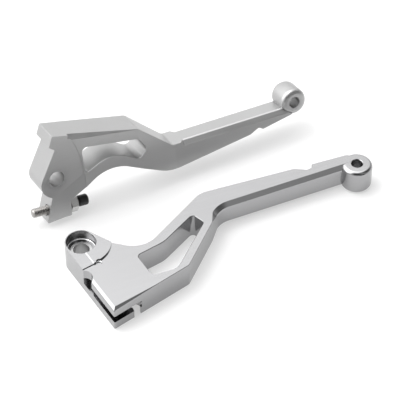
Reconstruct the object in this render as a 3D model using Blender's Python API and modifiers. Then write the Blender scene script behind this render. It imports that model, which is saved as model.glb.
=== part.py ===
"""A matched pair of milled aluminium hand levers for a small motorcycle.

The cable lever lies flat on the ground. The hydraulic brake lever stands behind it on its short
arm and leans back. Each lever has its pivot bush, and the brake lever has a reach adjuster: a
screw through the short arm, its lock nut and its end cap. Units are metres, +Z is up.

Each lever is drawn in its own flat frame: the pivot axis at the origin, the ball end on +X, the
thickness along Z. Outlines are corner lists in millimetres: x, y and the fillet radius there.
"""
import math

import bmesh
import bpy
from mathutils import Matrix, Vector

MM = 0.001
GAP = 0.3                      # clearance between two pieces that touch
THICKNESS = 14.3               # both levers' blades have this thickness
EDGE_BREAK = 0.35              # small chamfer left on every milled edge
BLADE_CHAMFER = (2.4, 2.4)     # wide chamfer along the outer edge of each finger blade
BALL_INSET = 0.05              # the ball end's flats lie this much inside the blade's
BALL_HOLE_RADIUS = 2.9
PIVOT_RADIUS = 4.1             # hole in the bush, for an 8 mm pivot bolt
BUSH_RADIUS = 5.2

# Cable lever
CABLE_PIVOT = (-71.64, -6.82)  # place of its pivot axis on the ground
CABLE_BALL = (150.0, 8.0, 2.2)           # its place, radius and rounded shoulder
CABLE_OUTLINE = [
    (0.0, -47.1, 0.6), (44.3, -33.4, 4.0), (73.4, -2.7, 12.0), (151.0, 0.0, 3.0),
    (149.0, 7.7, 3.0), (128.2, 8.2, 0.6), (127.2, 6.0, 0.8), (124.4, 5.5, 2.0), (118.4, 8.6, 4.0),
    (67.4, 10.4, 12.0), (28.0, -14.6, 14.0), (14.1, -5.4, 1.5), (-14.23, 33.37, 8.2)]
CABLE_WINDOW = [
    (22.8, -17.9, 2.0), (25.2, -33.0, 3.5), (38.5, -32.9, 7.0), (61.8, -9.2, 2.2),
    (58.3, -2.2, 2.2), (38.5, -14.2, 16.0)]
BOSS_RISE = 1.0                # the pivot boss stands this much above the lever's upper face
BOSS_RADIUS = 15.0
BOSS_STEP = [(3.9, -15.0), (-30.0, -22.7), (-30.0, 40.0), (10.0, 40.0)]   # closes the boss's arc
LEDGE_DROP = 0.5               # the flat beside the seat is this much lower than the boss
LEDGE = [(-12.0, 5.0, 0.0), (-12.0, -20.0, 0.0), (2.2, -20.0, 0.0), (-0.6, -4.0, 0.0)]
SEAT_RADIUS = 7.5              # open bearing seat in the boss
SEAT_DEPTH = 5.7
SLOT_LEVELS = (4.8, 8.9)       # the cable slot's lower and upper walls
CABLE_SLOT = [
    (-10.0, -17.6, 0.0), (-10.0, -60.0, 0.0), (16.0, -60.0, 0.0), (16.0, -36.0, 2.0),
    (5.5, -36.0, 3.0), (-0.6, -24.0, 3.0), (-2.3, -17.6, 0.0)]
POCKET_CENTRE = (-6.4, -21.9)  # upright pocket where the cable slot begins
POCKET_RADIUS = 4.4
NIPPLE_CENTRE = (13.4, -38.6)  # hole for the cable's barrel nipple, in the lower wall
NIPPLE_RADIUS = 3.2
NIPPLE_MOUTH = 3.8             # width of the gap from that hole to the front edge
RELIEF_CENTRE = (3.9, -15.4)   # round corner relief at the end of the boss step
RELIEF_RADIUS = 1.5

# Brake lever
BRAKE_PIVOT = (-72.54, 34.93, 25.42)
BRAKE_YAW, BRAKE_LEAN, BRAKE_PITCH = 5.1, 15.2, -2.2     # degrees
BRAKE_BALL = (135.6, 7.0, 2.6)
BRAKE_OUTLINE = [
    (-7.6, -25.0, 0.8), (6.0, -24.0, 0.8), (6.4, -15.2, 2.0), (29.1, -0.7, 20.0),
    (62.3, -17.2, 20.0), (108.8, -10.6, 3.0), (114.0, -8.0, 1.5), (116.4, -9.6, 0.6),
    (133.6, -6.3, 1.5), (136.0, -2.2, 1.5), (64.6, -2.2, 2.5), (46.2, 14.0, 4.0),
    (0.4, 24.2, 0.5), (-1.9, 18.6, 0.4), (0.9, 16.4, 0.6), (-10.9, -4.6, 7.5), (-2.8, -10.8, 1.0)]
BRAKE_WINDOW = [
    (14.7, 13.4, 2.8), (15.5, -1.6, 1.2), (31.0, 5.4, 16.0), (45.2, -3.2, 3.0),
    (50.4, 1.4, 2.6), (45.4, 8.4, 4.0)]
ROOT_THICKNESS = 17.6          # the root is thicker than the blade, by the same on both faces
ROOT_SLOPE = (46.0, 66.0)      # where its faces slope down to the blade's
RECESS_DEPTH = 0.5             # clearance for the fork of the perch, on both faces
RECESS_ARC = (-28.0, 1.0, 42.4)
ARM_DROP = 2.1                 # the short arm's faces lie this much below the pivot boss
ARM_LAND = [(-20.0, -3.0, 0.0), (-20.0, -40.0, 0.0), (16.0, -40.0, 0.0), (16.0, -0.5, 0.0),
            (-2.9, -10.6, 0.6)]

# Reach adjuster, on an axis of its own through the short arm
ADJUSTER_CENTRE = (0.0, -19.5, 2.3)
ADJUSTER_TILT = -2.5           # degrees
SCREW_RADIUS = 2.5             # M5
SCREW_SPAN = (-13.6, 11.2)
SPIGOT_RADIUS = 1.6
SPIGOT_END = 14.2
NUT_SPAN = (6.7, 10.5)
NUT_ACROSS_FLATS = 8.0
CAP_SPAN = (11.6, 16.8)
CAP_RADIUS = 2.9


def clear_scene():
    for item in list(bpy.data.objects):
        bpy.data.objects.remove(item, do_unlink=True)


def make_collection(name):
    group = bpy.data.collections.new(name)
    bpy.context.scene.collection.children.link(group)
    return group


def material(name, colour, roughness, metallic):
    made = bpy.data.materials.new(name)
    made.use_nodes = True
    shader = made.node_tree.nodes["Principled BSDF"]
    shader.inputs["Base Color"].default_value = (*colour, 1.0)
    shader.inputs["Roughness"].default_value = roughness
    shader.inputs["Metallic"].default_value = metallic
    return made


def rounded(corners, steps=6):
    """The outline through the corners, each one replaced by an arc of its fillet radius."""
    points = []
    for index, (x, y, radius) in enumerate(corners):
        corner = Vector((x, y))
        if radius == 0.0:
            points.append(corner)
            continue
        before = Vector(corners[index - 1][:2]) - corner
        after = Vector(corners[(index + 1) % len(corners)][:2]) - corner
        half = before.angle(after) / 2
        reach = radius / math.tan(half)
        centre = corner + (before.normalized() + after.normalized()).normalized() * radius / math.sin(half)
        start = corner + before.normalized() * reach - centre
        end = corner + after.normalized() * reach - centre
        turn = math.atan2(start.x * end.y - start.y * end.x, start.dot(end))
        for step in range(steps + 1):
            points.append(centre + Matrix.Rotation(turn * step / steps, 2) @ start)
    return points


def arc(x, y, radius, first, last, steps):
    """Points along an arc between two angles in degrees."""
    angles = [math.radians(first + (last - first) * k / steps) for k in range(steps + 1)]
    return [Vector((x + radius * math.cos(a), y + radius * math.sin(a))) for a in angles]


def circle(x, y, radius, steps=64, first=2.0):
    return arc(x, y, radius, first, first + 360.0, steps)[:-1]


def plate(name, outlines, low, high, edge=0.0):
    """A flat plate between two levels, from an outer outline and any holes in it."""
    curve = bpy.data.curves.new(name, "CURVE")
    curve.dimensions = "2D"
    curve.fill_mode = "BOTH"
    curve.extrude = ((high - low) / 2 - edge) * MM
    curve.bevel_depth = edge * MM
    curve.bevel_resolution = 0
    curve.offset = -edge * MM
    for outline in outlines:
        spline = curve.splines.new("POLY")
        spline.points.add(len(outline) - 1)
        for point, place in zip(spline.points, outline):
            point.co = (place[0] * MM, place[1] * MM, 0.0, 1.0)
        spline.use_cyclic_u = True
    drawn = bpy.data.objects.new(name, curve)
    bpy.context.scene.collection.objects.link(drawn)
    bpy.context.view_layer.update()
    mesh = bpy.data.meshes.new_from_object(drawn.evaluated_get(bpy.context.evaluated_depsgraph_get()))
    bpy.data.objects.remove(drawn)
    shape = bmesh.new()
    shape.from_mesh(mesh)
    bmesh.ops.remove_doubles(shape, verts=shape.verts, dist=0.00001)
    bmesh.ops.translate(shape, verts=shape.verts, vec=(0.0, 0.0, (low + high) / 2 * MM))
    bmesh.ops.recalc_face_normals(shape, faces=shape.faces)
    shape.to_mesh(mesh)
    shape.free()
    return bpy.data.objects.new(name, mesh)


def turned(name, profile, steps=48):
    """A solid of revolution about Z. The profile runs down its outer side, from axis to axis."""
    mesh = bpy.data.meshes.new(name)
    shape = bmesh.new()
    verts = [shape.verts.new((r * MM, 0.0, z * MM)) for r, z in profile]
    for first, second in zip(verts, verts[1:]):
        shape.edges.new((first, second))
    shape.to_mesh(mesh)
    shape.free()
    body = bpy.data.objects.new(name, mesh)
    screw = body.modifiers.new("Turn", "SCREW")
    screw.steps = screw.render_steps = steps
    screw.use_merge_vertices = True
    screw.merge_threshold = 0.00001
    return body


def box(name, size, place):
    """A block with its given size and placement matrix."""
    mesh = bpy.data.meshes.new(name)
    shape = bmesh.new()
    bmesh.ops.create_cube(shape, size=1.0)
    bmesh.ops.scale(shape, verts=shape.verts, vec=[side * MM for side in size])
    bmesh.ops.transform(shape, verts=shape.verts, matrix=place)
    shape.to_mesh(mesh)
    shape.free()
    return bpy.data.objects.new(name, mesh)


def combine(body, tool, operation="DIFFERENCE"):
    """Cut or join a body with a tool, which goes to the hidden cutters."""
    CUTTERS.objects.link(tool)
    tool.hide_render = True
    tool.display_type = "WIRE"
    tool.parent = body
    step = body.modifiers.new(tool.name, "BOOLEAN")
    step.solver = "EXACT"
    step.operation = operation
    step.object = tool


def chamfer(body, name, start, end, level, sizes, upward):
    """Cut a 45 degree chamfer along an edge, from one size at its start to another at its end."""
    start, end = Vector((*start, level)), Vector((*end, level))
    outward = (end - start).cross(Vector((0.0, 0.0, 1.0))).normalized()
    normal = (outward + Vector((0.0, 0.0, 1.0 if upward else -1.0))).normalized()
    block = 6.0
    first = start + normal * (block / 2 - sizes[0] / math.sqrt(2))
    last = end + normal * (block / 2 - sizes[1] / math.sqrt(2))
    along = (last - first).normalized()
    across = normal.cross(along).normalized()
    turn = Matrix((along, across, along.cross(across))).transposed().to_4x4()
    place = Matrix.Translation((first + last) / 2 * MM) @ turn
    combine(body, box(name, ((last - first).length, block, block), place))


def thicken_root(body):
    """Spread the brake lever's faces about its middle plane, from the root down to the blade."""
    first, last = ROOT_SLOPE
    shape = bmesh.new()
    shape.from_mesh(body.data)
    for x in ROOT_SLOPE:
        whole = shape.verts[:] + shape.edges[:] + shape.faces[:]
        bmesh.ops.bisect_plane(shape, geom=whole, plane_co=(x * MM, 0.0, 0.0), plane_no=(1.0, 0.0, 0.0))
    middle = THICKNESS / 2 * MM
    for vert in shape.verts:
        share = min(1.0, max(0.0, (last - vert.co.x / MM) / (last - first)))
        vert.co.z = middle + (vert.co.z - middle) * (1.0 + share * (ROOT_THICKNESS / THICKNESS - 1.0))
    shape.to_mesh(body.data)
    shape.free()


def ball_end(body, x, radius, shoulder):
    """Add the round end of the blade, with its rounded shoulders and its hole."""
    low, high = BALL_INSET, THICKNESS - BALL_INSET
    flat = radius - shoulder
    bend = [math.radians(90.0 * k / 5) for k in range(6)]
    upper = [(flat + shoulder * math.sin(a), high - shoulder * (1.0 - math.cos(a))) for a in bend]
    lower = [(r, low + high - z) for r, z in reversed(upper)]
    profile = [(0.0, high)] + upper + lower + [(0.0, low)]
    ball = turned(body.name + "_ball", profile)
    ball.location.x = x * MM
    combine(body, ball, "UNION")
    combine(body, plate(body.name + "_ball_hole", [circle(x, 0.0, BALL_HOLE_RADIUS, 36, 4.0)], -1, THICKNESS + 1))


def bush(name, low, high, place):
    """A plain bearing bush: the sleeve that the pivot bolt turns in."""
    sleeve = plate(name, [circle(0, 0, BUSH_RADIUS, 48), circle(0, 0, PIVOT_RADIUS, 48)], low, high, 0.2)
    return finish(sleeve, BRONZE, place)


def finish(body, surface, place):
    """Show a body as one of the pair's pieces."""
    PIECES.objects.link(body)
    body.data.materials.clear()
    body.data.materials.append(surface)
    body.matrix_world = place
    body.data.shade_smooth()
    body.data.set_sharp_from_angle(angle=math.radians(30))
    return body


def cable_lever(place):
    land_top = THICKNESS + BOSS_RISE
    body = plate("cable_lever_body", [rounded(CABLE_OUTLINE), rounded(CABLE_WINDOW)], 0.0, land_top)
    boss = arc(0, 0, BOSS_RADIUS, -75.0, 50.0, 30) + [Vector(point) for point in reversed(BOSS_STEP)]
    border = [Vector(point) for point in ((-60, -80), (200, -80), (200, 60), (-60, 60))]
    combine(body, plate("boss_step", [border, boss], THICKNESS, land_top + 5))
    combine(body, plate("ledge", [rounded(LEDGE)], land_top - LEDGE_DROP, land_top + 1))
    ball_end(body, *CABLE_BALL)
    combine(body, plate("seat", [circle(0, 0, SEAT_RADIUS, 72)], land_top - SEAT_DEPTH, land_top + 2))
    combine(body, plate("bush_bore", [circle(0, 0, BUSH_RADIUS + GAP, 48)], -1, land_top))
    combine(body, plate("cable_slot", [rounded(CABLE_SLOT)], *SLOT_LEVELS))
    combine(body, plate("pocket", [circle(*POCKET_CENTRE, POCKET_RADIUS, 48)],
                        SLOT_LEVELS[0], land_top + 3))
    combine(body, plate("nipple_hole", [circle(*NIPPLE_CENTRE, NIPPLE_RADIUS, 32)], -1, SLOT_LEVELS[0] + 1))
    mouth = Matrix.Translation(Vector((NIPPLE_CENTRE[0], NIPPLE_CENTRE[1] - 6.0, 1.9)) * MM)
    combine(body, box("nipple_mouth", (NIPPLE_MOUTH, 12.0, 7.8), mouth))
    combine(body, plate("corner_relief", [circle(*RELIEF_CENTRE, RELIEF_RADIUS, 24)],
                        THICKNESS - 0.5, land_top + 4))
    blade = (76.0, -2.6), (143.0, -0.27)
    chamfer(body, "blade_top", *blade, THICKNESS, BLADE_CHAMFER, True)
    chamfer(body, "blade_bottom", *blade, 0.0, BLADE_CHAMFER, False)
    chamfer(body, "end_face", (-4.2, -23.2), (0.4, -49.4), THICKNESS, (1.5, 1.5), True)
    chamfer(body, "front_edge", (-1.0, -47.4), (24.0, -39.7), THICKNESS, (1.5, 0.1), True)
    return finish(body, POLISHED, place)


def brake_lever(place):
    """The brake lever's outline is drawn with its middle plane at Z = 0."""
    half, root = THICKNESS / 2, ROOT_THICKNESS / 2
    boss = root - RECESS_DEPTH
    arm = boss - ARM_DROP
    body = plate("brake_lever_body", [rounded(BRAKE_OUTLINE), rounded(BRAKE_WINDOW)],
                 0.0, THICKNESS, EDGE_BREAK)
    thicken_root(body)
    ball_end(body, *BRAKE_BALL)
    blade = (131.0, -2.2), (70.5, -2.2)
    chamfer(body, "brake_blade_top", *blade, THICKNESS, BLADE_CHAMFER, True)
    chamfer(body, "brake_blade_bottom", *blade, 0.0, BLADE_CHAMFER, False)
    chamfer(body, "brake_root_edge", (46.2, 14.0), (8.6, 22.37), half + root, (0.2, 2.5), True)
    for name, low, high in (("upper", half + boss, half + root + 2), ("lower", half - root - 2, half - boss)):
        combine(body, plate("recess_" + name, [circle(*RECESS_ARC, 96)], low, high))
    for name, low, high in (("upper", half + arm, half + root + 3), ("lower", half - root - 3, half - arm)):
        combine(body, plate("arm_" + name, [rounded(ARM_LAND)], low, high))
    combine(body, plate("brake_bush_bore", [circle(0, 0, BUSH_RADIUS + GAP, 48)],
                        half - root - 1, half + root + 1))
    hole = plate("adjuster_hole", [circle(0, 0, SCREW_RADIUS + GAP, 32)], -15, 15)
    combine(body, hole)
    hole.matrix_parent_inverse = Matrix.Identity(4)
    hole.matrix_local = Matrix.Translation((0, 0, half * MM)) @ adjuster_axis()
    return finish(body, SATIN, place @ Matrix.Translation((0, 0, -half * MM)))


def adjuster_axis():
    """The adjuster's own frame on the brake lever, its Z axis along the screw."""
    shift = Matrix.Translation(Vector(ADJUSTER_CENTRE) * MM)
    return shift @ Matrix.Rotation(math.radians(ADJUSTER_TILT), 4, "Z") @ Matrix.Rotation(math.pi / 2, 4, "Y")


def adjuster(place):
    """The reach adjuster's screw, lock nut and end cap."""
    tip, shoulder = SCREW_SPAN
    screw = turned("adjuster_screw", [
        (0.0, SPIGOT_END), (SPIGOT_RADIUS, SPIGOT_END), (SPIGOT_RADIUS, shoulder), (SCREW_RADIUS, shoulder),
        (SCREW_RADIUS, tip + 0.6), (SCREW_RADIUS - 0.6, tip), (0.0, tip)], 32)
    finish(screw, STEEL, place)

    corner = NUT_ACROSS_FLATS / 2 / math.cos(math.pi / 6)
    nut = plate("adjuster_lock_nut", [circle(0, 0, corner, 6), circle(0, 0, SCREW_RADIUS + GAP, 32)],
                *NUT_SPAN)
    face = NUT_ACROSS_FLATS / 2
    low, high = NUT_SPAN
    combine(nut, turned("nut_corners", [
        (0.0, high), (face, high), (corner + 0.1, high - 0.7), (corner + 0.1, low + 0.7), (face, low),
        (0.0, low)]), "INTERSECT")
    finish(nut, ZINC, place)

    low, high = CAP_SPAN
    cap = turned("adjuster_end_cap", [
        (0.0, high), (CAP_RADIUS - 1.0, high), (CAP_RADIUS - 0.3, high - 0.3), (CAP_RADIUS, high - 1.0),
        (CAP_RADIUS, low + 0.3), (CAP_RADIUS - 0.3, low), (0.0, low)], 32)
    combine(cap, plate("cap_socket", [circle(0, 0, SPIGOT_RADIUS + GAP, 24)],
                       low - 1, SPIGOT_END + GAP))
    finish(cap, PLASTIC, place)


def main():
    cable_place = Matrix.Translation(Vector((*CABLE_PIVOT, 0.0)) * MM)
    cable_lever(cable_place)
    bush("cable_lever_bush", 0.3, THICKNESS + BOSS_RISE - SEAT_DEPTH, cable_place)

    lean = Matrix.Rotation(math.radians(90.0 - BRAKE_LEAN), 4, "X")
    brake_place = (Matrix.Translation(Vector(BRAKE_PIVOT) * MM)
                   @ Matrix.Rotation(math.radians(BRAKE_YAW), 4, "Z") @ lean
                   @ Matrix.Rotation(math.radians(BRAKE_PITCH), 4, "Z"))
    brake_lever(brake_place)
    bush_half = ROOT_THICKNESS / 2 - RECESS_DEPTH
    bush("brake_lever_bush", -bush_half, bush_half, brake_place)
    adjuster(brake_place @ adjuster_axis())


clear_scene()
PIECES = make_collection("lever_pair")
CUTTERS = make_collection("cutters")
POLISHED = material("polished_aluminium", (0.78, 0.78, 0.79), 0.14, 1.0)
SATIN = material("satin_aluminium", (0.72, 0.72, 0.72), 0.38, 1.0)
BRONZE = material("bush_bronze", (0.62, 0.50, 0.33), 0.35, 1.0)
STEEL = material("screw_steel", (0.42, 0.41, 0.40), 0.35, 1.0)
ZINC = material("zinc_plate", (0.75, 0.75, 0.74), 0.3, 1.0)
PLASTIC = material("black_plastic", (0.01, 0.01, 0.01), 0.45, 0.0)
main()
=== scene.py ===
"""Looks for the pair of scooter hand levers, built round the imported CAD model.

Both lever bodies are built again here at full resolution: the same outlines as the CAD, with the
tapering chamfers, their run-outs, the rounded shoulders of the ball ends and the broken edges that
machining leaves. The bushes, the adjuster screw with its thread, the lock nut and the cap are
replaced too. Drawing units are millimetres in each lever's own flat frame: the pivot axis at the
origin, the ball end on +X, the thickness along Z. The scene is in metres.
"""
import math

import bmesh
import bpy
from mathutils import Matrix, Vector


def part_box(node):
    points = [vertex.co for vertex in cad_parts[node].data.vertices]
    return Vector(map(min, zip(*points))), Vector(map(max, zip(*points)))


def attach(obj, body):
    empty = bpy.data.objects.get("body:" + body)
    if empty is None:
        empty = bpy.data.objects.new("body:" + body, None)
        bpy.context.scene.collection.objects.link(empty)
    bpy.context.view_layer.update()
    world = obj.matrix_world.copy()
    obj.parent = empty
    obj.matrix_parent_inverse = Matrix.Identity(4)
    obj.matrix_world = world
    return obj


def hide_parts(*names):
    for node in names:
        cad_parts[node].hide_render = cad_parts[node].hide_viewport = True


MM = 0.001
WELD = 2e-6                    # metres: points closer than this become one
SLIVER = 1e-6                  # metres: edges and faces thinner than this are removed
FLATTEN = 0.3                  # degrees: neighbouring faces that differ by less become one
CREASE = 14.0                  # degrees: edges that bend by more are drawn sharp
THREAD_CREASE = 40.0           # the same for the thread
CAP_CREASE = 25.0              # and for the moulded cap
ROUND = 96                     # sides of a round feature
CLEAR = 20.0                   # a cutter's reach, clear of every face of a lever
OVER = 0.01                    # how far a cutter stands over the face where it ends

THICKNESS = 14.3               # of both levers' blades
HALF = THICKNESS / 2
EDGE = 0.22                    # broken edge that machining leaves everywhere
EDGE_SECTION = ((1.0, 0.0), (0.14, 0.86), (0.0, 1.22))   # shares of a chamfer: inset and drop
BLADE = 2.4                    # wide chamfer along the outer edge of each finger blade
FILLET_STEPS = 18
SMALLEST_FILLET = 0.04

BALL_HOLE_RADIUS = 2.9
BALL_HOLE_EDGE = 0.3
BALL_HOLE_SIDES = 48
SHOULDER_STEPS = 12
BALL_INSET = 0.05              # the ball end's flats lie this much inside the blade's

PIVOT_RADIUS = 4.1             # of the hole through each bush, for an 8 mm bolt
BUSH_SEAT_RADIUS = 5.5
BUSH_RADIUS = BUSH_SEAT_RADIUS - 0.01
BUSH_EDGE = 0.05
BUSH_LIFT = 0.3                # the cable lever's bush ends this far above the underside

# Corner lists: x, y, fillet radius, then the top and bottom chamfer where they aren't EDGE.
CABLE_OUTLINE = [
    (0.0, -47.1, 0.6, 1.5, EDGE), (24.0, -39.68, 0.0), (44.3, -33.4, 4.0), (65.7, -10.82, 0.0),
    (73.4, -2.7, 12.0, BLADE, BLADE), (151.0, 0.0, 3.0, BLADE, BLADE), (149.0, 7.7, 3.0),
    (128.2, 8.2, 0.6), (127.2, 6.0, 0.8), (124.4, 5.5, 2.0), (118.4, 8.6, 4.0), (67.4, 10.4, 12.0),
    (28.0, -14.6, 14.0), (14.1, -5.4, 1.5, 0.0, EDGE), (-14.23, 33.37, 8.2, 0.0, EDGE),
    (-4.73, -20.2, 0.0, 0.0, EDGE), (-4.19, -23.3, 0.0, 1.5, EDGE)]
CABLE_WINDOW = [
    (22.8, -17.9, 2.0), (25.2, -33.0, 3.5), (38.5, -32.9, 7.0), (61.8, -9.2, 2.2),
    (58.3, -2.2, 2.2), (38.5, -14.2, 16.0)]
CABLE_BALL = (150.0, 8.0, 2.2)           # its place along X, radius and rounded shoulder
BOSS_TOP = THICKNESS + 1.0
BOSS_BOTTOM = 10.0             # the boss starts inside the body
BOSS_SEAM = 0.03               # and this much inside the body's outline
BOSS_RADIUS = 15.0
BOSS_TURNS = (-75.0, 50.0)     # degrees: the round stretch of the boss's edge
BOSS_STEP = [(10.0, 40.0), (-30.0, 40.0), (-30.0, -22.7), (3.9, -15.0)]
LEDGE = [(-14.0, 6.0), (-14.0, -22.0), (2.0, -22.0), (-1.2, -4.0)]
LEDGE_DROP = 0.5
LEDGE_SLOPE = 0.9              # run of the sloped side of the ledge
SEAT_RADIUS = 7.5
SEAT_FLOOR = BOSS_TOP - 5.7
SEAT_EDGE = 0.15
SEAT_FILLET = 0.5
SLOT_LEVELS = (4.8, 8.9)
CABLE_SLOT = [
    (-10.0, -17.6, 0.0), (-10.0, -60.0, 0.0), (16.0, -60.0, 0.0), (16.0, -36.0, 2.0),
    (5.5, -36.0, 3.0), (-0.6, -24.0, 3.0), (-2.3, -17.6, 0.0)]
POCKET = (-6.4, -21.9, 4.4)              # round places: x, y and radius
NIPPLE = (13.4, -38.6, 3.2)
NIPPLE_MOUTH = 3.8             # width of the opening from the nipple hole to the front edge
NIPPLE_FRONT = -50.0           # a place in front of that edge
RELIEF = (3.9, -15.4, 1.5)
RELIEF_FLOOR = THICKNESS - 0.5
RELIEF_FILLET = (0.4, 0.15)

BRAKE_TURN = (5.1, 15.2, -2.2)           # yaw, lean and pitch of the brake lever, in degrees
BRAKE_OUTLINE = [
    (-7.6, -25.0, 0.8), (6.0, -24.0, 0.8), (6.4, -15.2, 2.0), (29.1, -0.7, 20.0),
    (62.3, -17.2, 20.0), (108.8, -10.6, 3.0), (114.0, -8.0, 1.5), (116.4, -9.6, 0.6),
    (133.6, -6.3, 1.5), (136.0, -2.2, 1.5, BLADE, BLADE), (71.4, -2.2, 0.0, BLADE, BLADE),
    (69.4, -2.2, 0.0), (64.6, -2.2, 2.5), (46.2, 14.0, 4.0), (0.4, 24.2, 0.5), (-1.9, 18.6, 0.4),
    (0.9, 16.4, 0.6), (-10.9, -4.6, 7.5), (-2.8, -10.8, 1.0)]
BRAKE_WINDOW = [
    (14.7, 13.4, 2.8), (15.5, -1.6, 1.2), (31.0, 5.4, 16.0), (45.2, -3.2, 3.0),
    (50.4, 1.4, 2.6), (45.4, 8.4, 4.0)]
BRAKE_BALL = (135.6, 7.0, 2.6)
ROOT_THICKNESS = 17.6          # the root is thicker than the blade, by the same on both faces
ROOT_SLOPE = (46.0, 66.0)      # where its faces slope down to the blade's
ROOT_CHAMFER = ((46.2, 14.0), (8.6, 22.37), (0.2, 2.5))      # its start, end and two sizes
ROOT_CHAMFER_BLOCK = 6.0
RECESS_DEPTH = 0.5
RECESS_ARC = (-28.0, 1.0, 42.4)          # the perch's swing: x, y and radius
RECESS_SIDES = 240
RECESS_FACE = ROOT_THICKNESS / 2 - RECESS_DEPTH              # from the middle plane
ARM_DROP = 2.1                 # how far the short arm's faces lie below the recess
ARM_RISE = (2.0, 15.0)         # between these places along X they rise to it again
ARM_LAND = [
    (-20.0, -3.0, 0.0), (-20.0, -40.0, 0.0), (16.0, -40.0, 0.0), (16.0, -0.5, 0.0),
    (-2.9, -10.6, 0.6)]
ARM_REACH = (-21.0, 45.0)      # the arm's cutter goes past the land, along X and across

ADJUSTER_CENTRE = (0.0, -19.5, 2.3)
ADJUSTER_TILT = -2.5           # degrees
HOLE_RADIUS = 2.8              # through the short arm and the nut
SMALL_ROUND = 64               # sides of the adjuster's and the nipple's holes, and of the cap
SCREW_SPAN = (-13.6, 11.2)
SCREW_SIDES = 48
SCREW_BREAK = 0.15
SCREW_TIP = 0.75               # how much smaller the tip's flat end is than the thread
THREAD_RADIUS = 2.5
THREAD_PITCH = 0.8
THREAD_DEPTH = 0.49
THREAD_FLAT = 0.125            # share of the pitch that the crest and the root each take
THREAD_ROWS = 14               # rings in each turn
THREAD_FADE = (0.7, 0.5, 0.9)  # cut down at the tip, at the spigot, and how steeply
SPIGOT_RADIUS = 1.6
SPIGOT_END = 14.2
SPIGOT_EDGE = 0.2
NUT_SPAN = (6.7, 10.5)
NUT_ACROSS_FLATS = 8.0
NUT_FACE_INSET = 0.1
NUT_CORNER_SLOPE = 30.0        # degrees
NUT_CORNER_OVER = 0.15
NUT_COUNTERSINK = (0.9, 0.6, 0.3)        # radius added, and the heights over and under the face
CAP_SPAN = (11.6, 16.8)
CAP_RADIUS = 2.9
CAP_ROUNDING = 1.1
CAP_GROOVE = ((0.0, 0.9), (0.12, 0.8), (0.12, 0.6), (0.0, 0.5))      # depth, height over the rim
CAP_RIM = 0.25
CAP_MOUTH = 0.2
CAP_PLAY = 0.1

METALS = {                     # colour, roughness, its spread, streaks along X, Y, Z, bump, tint
    "polished_aluminium": ((0.37, 0.37, 0.375), 0.17, 0.04, (30.0, 900.0, 900.0), 0.12, 0.05),
    "satin_aluminium": ((0.43, 0.43, 0.43), 0.40, 0.08, (14.0, 1100.0, 1100.0), 0.5, 0.1),
    "bush_metal": ((0.43, 0.43, 0.43), 0.34, 0.05, (500.0, 500.0, 60.0), 0.15, 0.05),
    "screw_steel": ((0.36, 0.35, 0.34), 0.28, 0.08, (600.0, 600.0, 600.0), 0.2, 0.05),
    "zinc_plate": ((0.62, 0.62, 0.61), 0.30, 0.08, (700.0, 700.0, 700.0), 0.25, 0.05)}
STREAK_SHARE = 0.7             # of the streaks in the finish; soft clouds make the rest
STREAK_RELIEF = 0.00002        # metres
CLOUD_SCALE = 55.0
NOISE_RANGE = (0.3, 0.7)       # the stretch of the noise over which the roughness spreads
PLASTIC_COLOUR = (0.012, 0.012, 0.012)
PLASTIC_ROUGHNESS = 0.42
GRAIN_SCALE = 4200.0
GRAIN_SHADES = (0.6, 1.5)      # of the plastic's colour, in its darkest and lightest grains
GRAIN_BUMP = 0.25
GRAIN_RELIEF = 0.00003         # metres

VIEW_TARGET = (-0.92, 11.66, 0.0)        # millimetres
VIEW_DISTANCE = 1100.0
VIEW_ELEVATION = 46.0
VIEW_HEADING = 21.84           # degrees from +Y towards +X
VIEW_LENS = 193.0

FLOOR_REACH = 6.0              # metres from its middle to each side
FLOOR_GREY = 0.43
FLOOR_GLOW = 0.50              # the ground is a softly lit table
DOME_BASE = 0.55
DOME_LEAST = 0.02
DOME_ZONES = [                 # heading, elevation, inner and outer angle, added strength
    (21.8, 44.0, 16.0, 52.0, 1.0),       # the sheet behind the levers
    (-66.0, 36.0, 14.0, 50.0, 2.6),      # the bright side, back left
    (-20.0, 74.0, 8.0, 36.0, 1.6),       # the lamp above and behind
    (110.0, 44.0, 12.0, 34.0, -0.42),    # the dark side, right
    (204.0, 44.0, 14.0, 36.0, -0.45),    # the dark place round the camera
    (165.0, 6.0, 10.0, 28.0, -0.45)]     # the dark front of the room


# ---------------------------------------------------------------- outlines

def corner_values(corner):
    """A corner's place, fillet radius and its top and bottom chamfers."""
    x, y, radius, *chamfers = corner
    top, bottom = chamfers or (EDGE, EDGE)
    return Vector((x, y)), radius, top, bottom


def inset_outline(corners, side, in_material=1.0):
    """The outline moved into the material by each corner's chamfer on one side, or by a number.

    Every fillet keeps its number of points, so that the rings of one edge match point by point.
    """
    points = []
    count = len(corners)
    places = [corner_values(corner)[0] for corner in corners]
    for index, corner in enumerate(corners):
        place, radius, top, bottom = corner_values(corner)
        width = {"top": top, "bottom": bottom}.get(side, side)
        arriving = (place - places[index - 1]).normalized()
        leaving = (places[(index + 1) % count] - place).normalized()
        left_in = Vector((-arriving.y, arriving.x)) * in_material
        left_out = Vector((-leaving.y, leaving.x)) * in_material
        moved = place + (left_in + left_out) / (1.0 + left_in.dot(left_out)) * width
        if radius == 0.0:
            points.append(moved)
            continue
        turn = math.atan2(arriving.x * leaving.y - arriving.y * leaving.x, arriving.dot(leaving))
        bend = math.copysign(1.0, turn)
        grown = max(radius - width * bend * in_material, SMALLEST_FILLET)
        normal = Vector((-arriving.y, arriving.x)) * bend
        reach = grown * math.tan(abs(turn) / 2)
        centre = moved - arriving * reach + normal * grown
        points += [centre + Matrix.Rotation(turn * step / FILLET_STEPS, 2) @ (-normal * grown)
                   for step in range(FILLET_STEPS + 1)]
    return points


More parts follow.
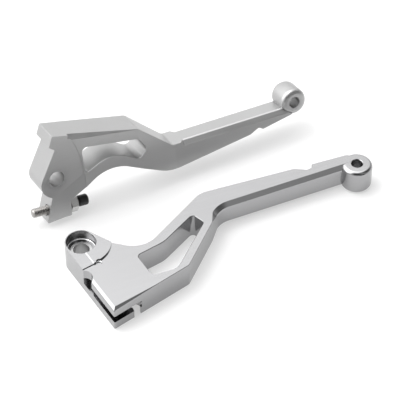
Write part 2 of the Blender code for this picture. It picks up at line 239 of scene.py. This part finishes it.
def edge_rings(corners, low, high, in_material):
    """The rings of points down the side of a plate: chamfer, softened heel, side, and again."""
    outer = inset_outline(corners, 0.0, in_material)
    rings = []
    for side, level, down in (("top", high, -1.0), ("bottom", low, 1.0)):
        widths = []
        for corner in corners:
            _, radius, top, bottom = corner_values(corner)
            widths += [top if side == "top" else bottom] * (1 if radius == 0.0 else FILLET_STEPS + 1)
        inner = inset_outline(corners, side, in_material)
        group = []
        for share, drop in EDGE_SECTION:
            ring = []
            for near, far, width in zip(outer, inner, widths):
                flat = near.lerp(far, share)
                ring.append((flat.x, flat.y, level + down * drop * width))
            group.append(ring)
        rings += group if side == "top" else group[::-1]
    return rings


def circle(x, y, radius, steps=ROUND, first=1.3):
    """Points round a circle. Circles that meet start at different angles, so no points coincide."""
    turns = [math.radians(first + 360.0 * k / steps) for k in range(steps)]
    return [Vector((x + radius * math.cos(a), y + radius * math.sin(a))) for a in turns]


def arc(radius, first, last, steps):
    """Points along an arc about the origin, between two angles in degrees."""
    turns = [math.radians(first + (last - first) * k / steps) for k in range(steps + 1)]
    return [Vector((radius * math.cos(a), radius * math.sin(a))) for a in turns]


def rounded_corner(radius, height, rounding, steps):
    """Profile points round the upper corner of a turned shape, from its flat to its side."""
    bend = [math.radians(90.0 * k / steps) for k in range(steps + 1)]
    return [(radius - rounding + rounding * math.sin(a), height - rounding * (1.0 - math.cos(a)))
            for a in bend]


# ---------------------------------------------------------------- solids

def add_ring(shape, points, height):
    """Points of a shape over flat points, at one height."""
    return [shape.verts.new((x * MM, y * MM, height * MM)) for x, y in points]


def add_skin(shape, rings):
    """Faces from each ring of points to the next. A ring of one point closes its end."""
    for near, far in zip(rings, rings[1:]):
        steps = max(len(near), len(far))
        for k in range(steps):
            n = (k + 1) % steps
            face = [near[k % len(near)], far[k % len(far)], far[n % len(far)], near[n % len(near)]]
            shape.faces.new(list(dict.fromkeys(face)))


def shape_object(name, shape):
    """An object for a bmesh, which is used up."""
    mesh = bpy.data.meshes.new(name)
    shape.to_mesh(mesh)
    shape.free()
    made = bpy.data.objects.new(name, mesh)
    bpy.context.scene.collection.objects.link(made)
    return made


def solid_object(name, shape):
    """An object for a closed shape, with its faces turned outwards."""
    bmesh.ops.recalc_face_normals(shape, faces=shape.faces)
    return shape_object(name, shape)


def plate(name, outline, holes=(), low=0.0, high=THICKNESS):
    """A plate with chamfered edges, from corner lists for its outline and its holes."""
    shape = bmesh.new()
    caps = {0: [], -1: []}
    for corners, in_material in [(outline, 1.0)] + [(hole, -1.0) for hole in holes]:
        rings = [[shape.verts.new(Vector(point) * MM) for point in ring]
                 for ring in edge_rings(corners, low, high, in_material)]
        add_skin(shape, rings)
        for end in caps:
            ring = rings[end]
            caps[end] += [shape.edges.get((ring[k - 1], ring[k])) for k in range(len(ring))]
    for edges in caps.values():
        bmesh.ops.triangle_fill(shape, edges=edges, use_beauty=True)
    bmesh.ops.remove_doubles(shape, verts=shape.verts, dist=WELD)
    bmesh.ops.dissolve_degenerate(shape, edges=shape.edges, dist=SLIVER)
    return solid_object(name, shape)


def prism(name, points, low, high, slope=0.0):
    """A straight-sided solid over a polygon. With a slope, its top is that much larger."""
    shape = bmesh.new()
    centre = sum((Vector(point) for point in points), Vector((0.0, 0.0))) / len(points)
    grown = [Vector(point) + (Vector(point) - centre).normalized() * slope for point in points]
    lower = add_ring(shape, points, low)
    upper = add_ring(shape, grown, high)
    add_skin(shape, [upper, lower])
    shape.faces.new(lower[::-1])
    shape.faces.new(upper)
    return solid_object(name, shape)


def turned(name, profile, steps=ROUND, first=1.9):
    """A closed solid of revolution about Z. The profile runs from axis to axis."""
    shape = bmesh.new()
    rings = []
    for radius, height in profile:
        flat = circle(0.0, 0.0, radius, steps, first) if radius > 0.0 else [(0.0, 0.0)]
        rings.append(add_ring(shape, flat, height))
    add_skin(shape, rings)
    return solid_object(name, shape)


def pin(name, radius, steps=ROUND, first=0.9):
    """A cylinder that cuts a round hole right through at the origin."""
    profile = [(0.0, CLEAR), (radius, CLEAR), (radius, -CLEAR), (0.0, -CLEAR)]
    return turned(name, profile, steps, first)


def sleeve(name, outer, inner, low, high):
    """A tube with chamfered edges."""
    profile = [
        (inner + BUSH_EDGE, high), (outer - BUSH_EDGE, high), (outer, high - BUSH_EDGE),
        (outer, low + BUSH_EDGE), (outer - BUSH_EDGE, low), (inner + BUSH_EDGE, low),
        (inner, low + BUSH_EDGE), (inner, high - BUSH_EDGE)]
    shape = bmesh.new()
    rings = [add_ring(shape, circle(0.0, 0.0, radius), height) for radius, height in profile]
    add_skin(shape, rings + rings[:1])
    return solid_object(name, shape)


def moved_by(made, x, y, z=0.0):
    """Move an object's mesh, by millimetres."""
    made.data.transform(Matrix.Translation(Vector((x, y, z)) * MM))
    return made


def combine(body, tool, operation="DIFFERENCE"):
    """Cut or join a body with a tool, and use the tool up."""
    step = body.modifiers.new("combine", "BOOLEAN")
    step.solver = "EXACT"
    step.operation = operation
    step.object = tool
    bpy.context.view_layer.update()
    mesh = bpy.data.meshes.new_from_object(body.evaluated_get(bpy.context.evaluated_depsgraph_get()))
    body.modifiers.clear()
    body.data = mesh
    bpy.data.objects.remove(tool)
    return body


# ---------------------------------------------------------------- for both levers

def ball_end(body, x, radius, shoulder):
    """Join the round end of a blade: flats, rounded shoulders, a cylindrical side and a hole."""
    low, high = BALL_INSET, THICKNESS - BALL_INSET
    upper = rounded_corner(radius, high, shoulder, SHOULDER_STEPS)
    lower = [(away, low + high - height) for away, height in reversed(upper)]
    ball = turned(body.name + "_ball", [(0.0, high)] + upper + lower + [(0.0, low)])
    combine(body, moved_by(ball, x, 0.0), "UNION")
    rim = BALL_HOLE_RADIUS + BALL_HOLE_EDGE
    hole = turned("ball_hole", [
        (0.0, high + 1.0), (rim + 1.0, high + 1.0), (rim, high),
        (BALL_HOLE_RADIUS, high - BALL_HOLE_EDGE), (BALL_HOLE_RADIUS, low + BALL_HOLE_EDGE),
        (rim, low), (rim + 1.0, low - 1.0), (0.0, low - 1.0)], BALL_HOLE_SIDES, 3.1)
    combine(body, moved_by(hole, x, 0.0))


def finish_piece(piece, body, node, slot, place, crease=CREASE, folds=()):
    """Clean a piece, give it its slot's surface, and make it stand for its CAD node.

    Folds are places along X where the flat faces bend by a few degrees and must stay crisp.
    """
    mesh = piece.data
    shape = bmesh.new()
    shape.from_mesh(mesh)
    bmesh.ops.remove_doubles(shape, verts=shape.verts, dist=WELD)
    bmesh.ops.dissolve_degenerate(shape, edges=shape.edges, dist=SLIVER)
    bmesh.ops.dissolve_limit(shape, angle_limit=math.radians(FLATTEN), verts=shape.verts,
                             edges=shape.edges)
    shape.to_mesh(mesh)
    shape.free()
    mesh.materials.clear()
    mesh.materials.append(SURFACES[slot])
    crisp = [edge for edge in mesh.edges for x in folds
             if all(abs(mesh.vertices[end].co.x - x * MM) < SLIVER for end in edge.vertices)]
    mesh.transform(place)
    mesh.shade_smooth()
    mesh.set_sharp_from_angle(angle=math.radians(crease))
    for edge in crisp:
        edge.use_edge_sharp = True
    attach(piece, body)
    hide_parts(node)


# ---------------------------------------------------------------- cable lever

def cable_boss():
    """The raised boss: the lever's outline over a round stretch and a straight step."""
    flush = [(x, y, radius, EDGE, EDGE) for x, y, radius, *_ in CABLE_OUTLINE]
    corners = [(*point, 0.0, EDGE, EDGE) for point in inset_outline(flush, BOSS_SEAM)]
    boss = plate("boss", corners, (), BOSS_BOTTOM, BOSS_TOP)
    region = arc(BOSS_RADIUS, *BOSS_TURNS, 60) + BOSS_STEP
    return combine(boss, prism("boss_region", region, -CLEAR, CLEAR), "INTERSECT")


def bearing_seat():
    """The cutter of the open seat: a broken rim, a straight wall and a rounded floor."""
    rim = SEAT_RADIUS + SEAT_EDGE
    return turned("seat", [
        (0.0, CLEAR), (rim, CLEAR), (rim, BOSS_TOP + OVER), (SEAT_RADIUS, BOSS_TOP - SEAT_EDGE - OVER),
        (SEAT_RADIUS, SEAT_FLOOR + SEAT_FILLET), (SEAT_RADIUS - SEAT_EDGE, SEAT_FLOOR + SEAT_EDGE),
        (SEAT_RADIUS - SEAT_FILLET, SEAT_FLOOR), (0.0, SEAT_FLOOR)], ROUND, 2.7)


def cut_cable_way(body):
    """The cable's way: a slot in the edge, its pocket, the nipple's hole and its mouth."""
    floor_level = SLOT_LEVELS[0]
    x, y, _ = NIPPLE
    left, right = x - NIPPLE_MOUTH / 2, x + NIPPLE_MOUTH / 2
    mouth = [(left, NIPPLE_FRONT), (right, NIPPLE_FRONT), (right, y), (left, y)]
    combine(body, prism("cable_slot", inset_outline(CABLE_SLOT, 0.0), *SLOT_LEVELS))
    combine(body, prism("pocket", circle(*POCKET), floor_level, CLEAR))
    combine(body, prism("nipple_hole", circle(*NIPPLE, SMALL_ROUND), -CLEAR, floor_level + 1.0))
    combine(body, prism("nipple_mouth", mouth, -CLEAR, floor_level + 1.0))


def corner_relief():
    """The cutter of the small round relief at the boss's corner."""
    x, y, radius = RELIEF
    inward, rise = RELIEF_FILLET
    profile = [(0.0, CLEAR), (radius, CLEAR), (radius, RELIEF_FLOOR + rise),
               (radius - inward, RELIEF_FLOOR), (0.0, RELIEF_FLOOR)]
    return moved_by(turned("relief", profile, 48), x, y)


def cable_lever(place):
    """The front lever's body, flat on the table."""
    body = plate("cable_lever", CABLE_OUTLINE, [CABLE_WINDOW])
    combine(body, cable_boss(), "UNION")
    combine(body, prism("ledge", LEDGE, BOSS_TOP - LEDGE_DROP, BOSS_TOP + OVER, LEDGE_SLOPE))
    ball_end(body, *CABLE_BALL)
    combine(body, bearing_seat())
    combine(body, pin("bush_bore", BUSH_SEAT_RADIUS))
    cut_cable_way(body)
    combine(body, corner_relief())
    finish_piece(body, "cable_lever", "cable_lever_body", "polished_aluminium", place)


# ---------------------------------------------------------------- brake lever

def thicken_root(body):
    """Spread the brake lever's faces about its middle plane, from the root down to the blade."""
    first, last = ROOT_SLOPE
    shape = bmesh.new()
    shape.from_mesh(body.data)
    for x in ROOT_SLOPE:
        whole = shape.verts[:] + shape.edges[:] + shape.faces[:]
        bmesh.ops.bisect_plane(shape, geom=whole, plane_co=(x * MM, 0.0, 0.0), plane_no=(1.0, 0.0, 0.0))
    for vert in shape.verts:
        share = min(1.0, max(0.0, (last - vert.co.x / MM) / (last - first)))
        spread = 1.0 + share * (ROOT_THICKNESS / THICKNESS - 1.0)
        vert.co.z = HALF * MM + (vert.co.z - HALF * MM) * spread
    shape.to_mesh(body.data)
    shape.free()


def root_chamfer():
    """A block that cuts a 45 degree chamfer along the root's top edge, from small to large."""
    start, end, sizes = ROOT_CHAMFER
    level = HALF + ROOT_THICKNESS / 2
    start, end = Vector((*start, level)), Vector((*end, level))
    up = Vector((0.0, 0.0, 1.0))
    normal = ((end - start).cross(up).normalized() + up).normalized()
    first = start + normal * (ROOT_CHAMFER_BLOCK / 2 - sizes[0] / math.sqrt(2))
    last = end + normal * (ROOT_CHAMFER_BLOCK / 2 - sizes[1] / math.sqrt(2))
    along = (last - first).normalized()
    across = normal.cross(along).normalized()
    turn = Matrix((along, across, along.cross(across))).transposed().to_4x4()
    size = Matrix.Diagonal(((last - first).length, ROOT_CHAMFER_BLOCK, ROOT_CHAMFER_BLOCK, 1.0))
    middle = Matrix.Translation((first + last) / 2)
    shape = bmesh.new()
    bmesh.ops.create_cube(shape, size=1.0)
    bmesh.ops.transform(shape, verts=shape.verts, matrix=middle @ turn @ size)
    bmesh.ops.scale(shape, verts=shape.verts, vec=(MM, MM, MM))
    return shape_object("root_chamfer", shape)


def arm_cutter(side):
    """What is milled off one face of the short arm: a flat land that rises to the recess."""
    deep = RECESS_FACE - ARM_DROP
    start, end = ARM_RISE
    past, across = ARM_REACH
    profile = [(past, CLEAR), (past, deep), (start, deep), (end, RECESS_FACE), (end, CLEAR)]
    cutter = prism("arm", profile, -1.0, across)
    cutter.data.transform(Matrix.Rotation(math.pi / 2, 4, "X"))
    combine(cutter, prism("arm_land", inset_outline(ARM_LAND, 0.0), -1.0, CLEAR + 1.0), "INTERSECT")
    cutter.data.transform(Matrix.Diagonal((1.0, 1.0, side, 1.0)))
    if side < 0.0:
        cutter.data.flip_normals()
    return moved_by(cutter, 0.0, 0.0, HALF)


def brake_lever(place):
    """The back lever's body, standing on its short arm."""
    body = plate("brake_lever", BRAKE_OUTLINE, [BRAKE_WINDOW])
    thicken_root(body)
    ball_end(body, *BRAKE_BALL)
    combine(body, root_chamfer())
    for low, high in ((HALF + RECESS_FACE, CLEAR), (-CLEAR, HALF - RECESS_FACE)):
        combine(body, prism("recess", circle(*RECESS_ARC, RECESS_SIDES), low, high))
    for side in (1.0, -1.0):
        combine(body, arm_cutter(side))
    combine(body, pin("bore", BUSH_SEAT_RADIUS))
    hole = pin("adjuster_hole", HOLE_RADIUS, SMALL_ROUND, 1.9)
    hole.data.transform(Matrix.Translation((0.0, 0.0, HALF * MM)) @ adjuster_axis())
    combine(body, hole)
    middle = place @ Matrix.Translation((0.0, 0.0, -HALF * MM))
    finish_piece(body, "brake_lever", "brake_lever_body", "satin_aluminium", middle, folds=ROOT_SLOPE)


def brake_turn():
    """How the brake lever's flat frame is turned in the pair's frame."""
    yaw, lean, pitch = (math.radians(angle) for angle in BRAKE_TURN)
    return (Matrix.Rotation(yaw, 4, "Z") @ Matrix.Rotation(math.pi / 2 - lean, 4, "X")
            @ Matrix.Rotation(pitch, 4, "Z"))


# ---------------------------------------------------------------- reach adjuster

def adjuster_axis():
    """The adjuster's own frame on the brake lever, its Z axis along the screw."""
    tilt = Matrix.Rotation(math.radians(ADJUSTER_TILT), 4, "Z")
    return Matrix.Translation(Vector(ADJUSTER_CENTRE) * MM) @ tilt @ Matrix.Rotation(math.pi / 2, 4, "Y")


def thread_height(phase):
    """How far the thread stands up at a phase of its turn, from 0 at the root to 1 at the crest."""
    distance = abs((phase % 1.0) - 0.5) * 2.0
    return min(1.0, max(0.0, (1.0 - THREAD_FLAT - distance) / (1.0 - 2.0 * THREAD_FLAT)))


def thread_ring(height):
    """The thread's section at a height: it fades out towards both ends of the screw."""
    low, high = SCREW_SPAN
    at_tip, at_spigot, slope = THREAD_FADE
    points = []
    for k in range(SCREW_SIDES):
        turn = 2 * math.pi * k / SCREW_SIDES
        stand = thread_height(height / THREAD_PITCH - k / SCREW_SIDES)
        radius = min(THREAD_RADIUS - THREAD_DEPTH * (1.0 - stand),
                     THREAD_RADIUS - at_tip + (height - low) * slope,
                     THREAD_RADIUS - at_spigot + (high - height) * slope)
        points.append((radius * math.cos(turn), radius * math.sin(turn)))
    return points


def threaded_screw(name):
    """The adjuster screw: a flat tip, a cut thread and a plain spigot."""
    low, high = SCREW_SPAN
    threaded = high - low - 2 * SCREW_BREAK
    rows = int((high - low) / THREAD_PITCH * THREAD_ROWS)
    tip = circle(0.0, 0.0, THREAD_RADIUS - SCREW_TIP, SCREW_SIDES, 0.0)
    shape = bmesh.new()
    rings = [add_ring(shape, [(0.0, 0.0)], low), add_ring(shape, tip, low)]
    for row in range(rows + 1):
        height = low + SCREW_BREAK + threaded * row / rows
        rings.append(add_ring(shape, thread_ring(height), height))
    for radius, height in ((SPIGOT_RADIUS, high), (SPIGOT_RADIUS, SPIGOT_END - SPIGOT_EDGE),
                           (SPIGOT_RADIUS - SPIGOT_EDGE, SPIGOT_END)):
        rings.append(add_ring(shape, circle(0.0, 0.0, radius, SCREW_SIDES, 0.0), height))
    rings.append(add_ring(shape, [(0.0, 0.0)], SPIGOT_END))
    add_skin(shape, rings)
    return solid_object(name, shape)


def lock_nut(name):
    """A hexagon nut with its corners turned off on both faces and a countersunk hole."""
    low, high = NUT_SPAN
    corner = NUT_ACROSS_FLATS / 2 / math.cos(math.pi / 6)
    face = NUT_ACROSS_FLATS / 2 - NUT_FACE_INSET
    outside = corner + NUT_CORNER_OVER
    rise = (outside - face) * math.tan(math.radians(NUT_CORNER_SLOPE))
    nut = prism(name, circle(0.0, 0.0, corner, 6, 0.0), low, high)
    combine(nut, turned("nut_turning", [
        (0.0, high), (face, high), (outside, high - rise), (outside, low + rise), (face, low),
        (0.0, low)], 120), "INTERSECT")
    wider, over, under = NUT_COUNTERSINK
    mouth = HOLE_RADIUS + wider
    return combine(nut, turned("nut_bore", [
        (0.0, high + 1.0), (mouth, high + over), (HOLE_RADIUS, high - under),
        (HOLE_RADIUS, low + under), (mouth, low - over), (0.0, low - 1.0)], SMALL_ROUND))


def end_cap(name):
    """The moulded cap: a socket for the spigot, a rounded end, a groove and a thin rim."""
    low, high = CAP_SPAN
    socket = SPIGOT_RADIUS + CAP_PLAY
    floor_level = SPIGOT_END + CAP_PLAY
    groove = [(CAP_RADIUS - depth, low + height) for depth, height in CAP_GROOVE]
    return turned(name, [(0.0, high)] + rounded_corner(CAP_RADIUS, high, CAP_ROUNDING, 8) + groove + [
        (CAP_RADIUS, low + CAP_RIM), (CAP_RADIUS - CAP_RIM, low), (socket + CAP_MOUTH, low),
        (socket, low + CAP_MOUTH), (socket, floor_level), (0.0, floor_level)], SMALL_ROUND)


def pieces():
    """Every piece at the place that the CAD's bushes give its lever."""
    low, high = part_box("cable_lever_bush")
    cable_place = Matrix.Translation(((low.x + high.x) / 2, (low.y + high.y) / 2, 0.0))
    low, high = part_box("brake_lever_bush")
    brake_place = Matrix.Translation((low + high) / 2) @ brake_turn()
    cable_lever(cable_place)
    brake_lever(brake_place)

    bush = sleeve("cable_bush", BUSH_RADIUS, PIVOT_RADIUS, BUSH_LIFT, SEAT_FLOOR)
    finish_piece(bush, "cable_lever", "cable_lever_bush", "bush_metal", cable_place)
    bush = sleeve("brake_bush", BUSH_RADIUS, PIVOT_RADIUS, -RECESS_FACE, RECESS_FACE)
    finish_piece(bush, "brake_lever", "brake_lever_bush", "bush_metal", brake_place)

    axis = brake_place @ adjuster_axis()
    screw = threaded_screw("reach_screw")
    finish_piece(screw, "adjuster_screw", "adjuster_screw", "screw_steel", axis, THREAD_CREASE)
    nut = lock_nut("lock_nut")
    finish_piece(nut, "adjuster_nut", "adjuster_lock_nut", "zinc_plate", axis)
    cap = end_cap("end_cap")
    finish_piece(cap, "adjuster_cap", "adjuster_end_cap", "black_plastic", axis, CAP_CREASE)


# ---------------------------------------------------------------- surfaces

def add_node(tree, kind, sockets=None, **settings):
    """A shader node with its settings, and with values on its sockets by name or number."""
    made = tree.nodes.new(kind)
    for name, value in settings.items():
        setattr(made, name, value)
    for socket, value in (sockets or {}).items():
        made.inputs[socket].default_value = value
    return made


def node_material(name, metallic, roughness):
    """A material and its shader."""
    made = bpy.data.materials.new(name)
    made.use_nodes = True
    shader = made.node_tree.nodes["Principled BSDF"]
    shader.inputs["Metallic"].default_value = metallic
    shader.inputs["Roughness"].default_value = roughness
    return made, shader


def colour_between(tree, factor, first, second, shader):
    """A base colour that runs between two colours."""
    paint = add_node(tree, "ShaderNodeMix", {"A": (*first, 1.0), "B": (*second, 1.0)}, data_type="RGBA")
    tree.links.new(factor, paint.inputs["Factor"])
    tree.links.new(paint.outputs["Result"], shader.inputs["Base Color"])


def emboss(tree, height, strength, distance, shader):
    """A fine relief of the surface."""
    relief = add_node(tree, "ShaderNodeBump", {"Strength": strength, "Distance": distance})
    tree.links.new(height, relief.inputs["Height"])
    tree.links.new(relief.outputs["Normal"], shader.inputs["Normal"])


def metal(name, colour, rough, spread, streaks, bump, tint, turn):
    """Machined metal: fine streaks along the X of its lever in roughness, colour and relief."""
    made, shader = node_material(name, 1.0, rough)
    tree = made.node_tree
    place = add_node(tree, "ShaderNodeTexCoord")
    level = add_node(tree, "ShaderNodeMapping", {"Rotation": turn.transposed().to_euler()})
    stretch = add_node(tree, "ShaderNodeMapping", {"Scale": streaks})
    lines = add_node(tree, "ShaderNodeTexNoise", {"Scale": 1.0, "Detail": 4.0, "Roughness": 0.65})
    clouds = add_node(tree, "ShaderNodeTexNoise", {"Scale": CLOUD_SCALE, "Detail": 3.0})
    soft = add_node(tree, "ShaderNodeMath", {1: 1.0 - STREAK_SHARE}, operation="MULTIPLY")
    mixed = add_node(tree, "ShaderNodeMath", {1: STREAK_SHARE}, operation="MULTIPLY_ADD")
    gloss = add_node(tree, "ShaderNodeMapRange", {
        "From Min": NOISE_RANGE[0], "From Max": NOISE_RANGE[1],
        "To Min": rough - spread, "To Max": rough + spread})
    for source, target in (
            (place.outputs["Object"], level.inputs["Vector"]),
            (level.outputs["Vector"], stretch.inputs["Vector"]),
            (stretch.outputs["Vector"], lines.inputs["Vector"]),
            (place.outputs["Object"], clouds.inputs["Vector"]),
            (clouds.outputs["Fac"], soft.inputs[0]),
            (lines.outputs["Fac"], mixed.inputs[0]),
            (soft.outputs[0], mixed.inputs[2]),
            (mixed.outputs[0], gloss.inputs["Value"]),
            (gloss.outputs["Result"], shader.inputs["Roughness"])):
        tree.links.new(source, target)
    darker = [c * (1.0 - tint) for c in colour]
    lighter = [min(1.0, c * (1.0 + tint)) for c in colour]
    colour_between(tree, mixed.outputs[0], darker, lighter, shader)
    emboss(tree, lines.outputs["Fac"], bump, STREAK_RELIEF, shader)
    return made


def moulded(name, colour, rough):
    """Black moulded plastic with a fine grain."""
    made, shader = node_material(name, 0.0, rough)
    tree = made.node_tree
    place = add_node(tree, "ShaderNodeTexCoord")
    grain = add_node(tree, "ShaderNodeTexNoise", {"Scale": GRAIN_SCALE, "Detail": 2.0})
    tree.links.new(place.outputs["Object"], grain.inputs["Vector"])
    darker, lighter = ([c * share for c in colour] for share in GRAIN_SHADES)
    colour_between(tree, grain.outputs["Fac"], darker, lighter, shader)
    emboss(tree, grain.outputs["Fac"], GRAIN_BUMP, GRAIN_RELIEF, shader)
    return made


def surfaces():
    """A material for each of the record's slots. The satin lever's streaks follow its turn."""
    turns = {"satin_aluminium": brake_turn().to_3x3()}
    made = {name: metal(name, *values, turns.get(name, Matrix.Identity(3)))
            for name, values in METALS.items()}
    made["black_plastic"] = moulded("black_plastic", PLASTIC_COLOUR, PLASTIC_ROUGHNESS)
    return made


# ---------------------------------------------------------------- studio

def direction(heading, elevation):
    """The unit vector towards a heading, in degrees from +Y towards +X, at an elevation."""
    turn, rise = math.radians(heading), math.radians(elevation)
    return Vector((math.sin(turn) * math.cos(rise), math.cos(turn) * math.cos(rise), math.sin(rise)))


def floor():
    """The plain pale table, softly lit."""
    shape = bmesh.new()
    bmesh.ops.create_grid(shape, x_segments=8, y_segments=8, size=FLOOR_REACH)
    made = shape_object("studio_floor", shape)
    surface, shader = node_material("white_sweep", 0.0, 0.9)
    shader.inputs["Base Color"].default_value = (FLOOR_GREY, FLOOR_GREY, FLOOR_GREY, 1.0)
    shader.inputs["Specular IOR Level"].default_value = 0.0
    shader.inputs["Emission Color"].default_value = (1.0, 1.0, 1.0, 1.0)
    shader.inputs["Emission Strength"].default_value = FLOOR_GLOW
    made.data.materials.append(surface)


def world_light():
    """A soft studio dome: an even base with broad brighter and darker zones."""
    world = bpy.data.worlds.new("studio_dome")
    world.use_nodes = True
    bpy.context.scene.world = world
    tree = world.node_tree
    place = add_node(tree, "ShaderNodeTexCoord")
    base = add_node(tree, "ShaderNodeValue")
    base.outputs[0].default_value = DOME_BASE
    total = base.outputs[0]
    for heading, elevation, inner, outer, strength in DOME_ZONES:
        facing = add_node(tree, "ShaderNodeVectorMath", {1: direction(heading, elevation)},
                          operation="DOT_PRODUCT")
        tree.links.new(place.outputs["Generated"], facing.inputs[0])
        zone = add_node(tree, "ShaderNodeMapRange", {
            "From Min": math.cos(math.radians(outer)), "From Max": math.cos(math.radians(inner)),
            "To Min": 0.0, "To Max": strength}, interpolation_type="SMOOTHSTEP")
        tree.links.new(facing.outputs["Value"], zone.inputs["Value"])
        summed = add_node(tree, "ShaderNodeMath", operation="ADD")
        tree.links.new(total, summed.inputs[0])
        tree.links.new(zone.outputs["Result"], summed.inputs[1])
        total = summed.outputs[0]
    kept = add_node(tree, "ShaderNodeMath", {1: DOME_LEAST}, operation="MAXIMUM")
    tree.links.new(total, kept.inputs[0])
    tree.links.new(kept.outputs[0], tree.nodes["Background"].inputs["Strength"])
    tree.nodes["Background"].inputs["Color"].default_value = (1.0, 1.0, 1.0, 1.0)


def softbox(name, heading, elevation, distance, size, power):
    """An area light that faces the levers."""
    lamp = bpy.data.lights.new(name, "AREA")
    lamp.shape = "DISK"
    lamp.size = size
    lamp.energy = power
    made = bpy.data.objects.new(name, lamp)
    bpy.context.scene.collection.objects.link(made)
    away = direction(heading, elevation)
    made.location = away * distance
    made.rotation_euler = away.to_track_quat("Z", "Y").to_euler()


def camera():
    """A long lens that looks down at the pair from the front left."""
    lens = bpy.data.cameras.new("photo_view")
    lens.lens = VIEW_LENS
    lens.sensor_width = 36.0
    lens.clip_start = 0.01
    lens.clip_end = 50.0
    made = bpy.data.objects.new("photo_view", lens)
    bpy.context.scene.collection.objects.link(made)
    back = direction(VIEW_HEADING + 180.0, VIEW_ELEVATION)
    made.location = (Vector(VIEW_TARGET) + back * VIEW_DISTANCE) * MM
    made.rotation_euler = (math.radians(90.0 - VIEW_ELEVATION), 0.0, math.radians(-VIEW_HEADING))
    bpy.context.scene.camera = made


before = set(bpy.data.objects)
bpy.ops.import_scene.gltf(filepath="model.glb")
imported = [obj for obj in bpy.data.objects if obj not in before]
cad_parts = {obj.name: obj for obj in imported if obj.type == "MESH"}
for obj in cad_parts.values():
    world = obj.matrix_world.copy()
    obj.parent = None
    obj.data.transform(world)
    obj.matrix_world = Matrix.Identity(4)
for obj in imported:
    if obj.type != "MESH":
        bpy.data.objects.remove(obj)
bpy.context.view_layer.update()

SURFACES = surfaces()
pieces()
floor()
world_light()
softbox("key", heading=-40.0, elevation=66.0, distance=1.6, size=0.6, power=6.0)
camera()
bpy.context.scene.view_settings.view_transform = "Standard"
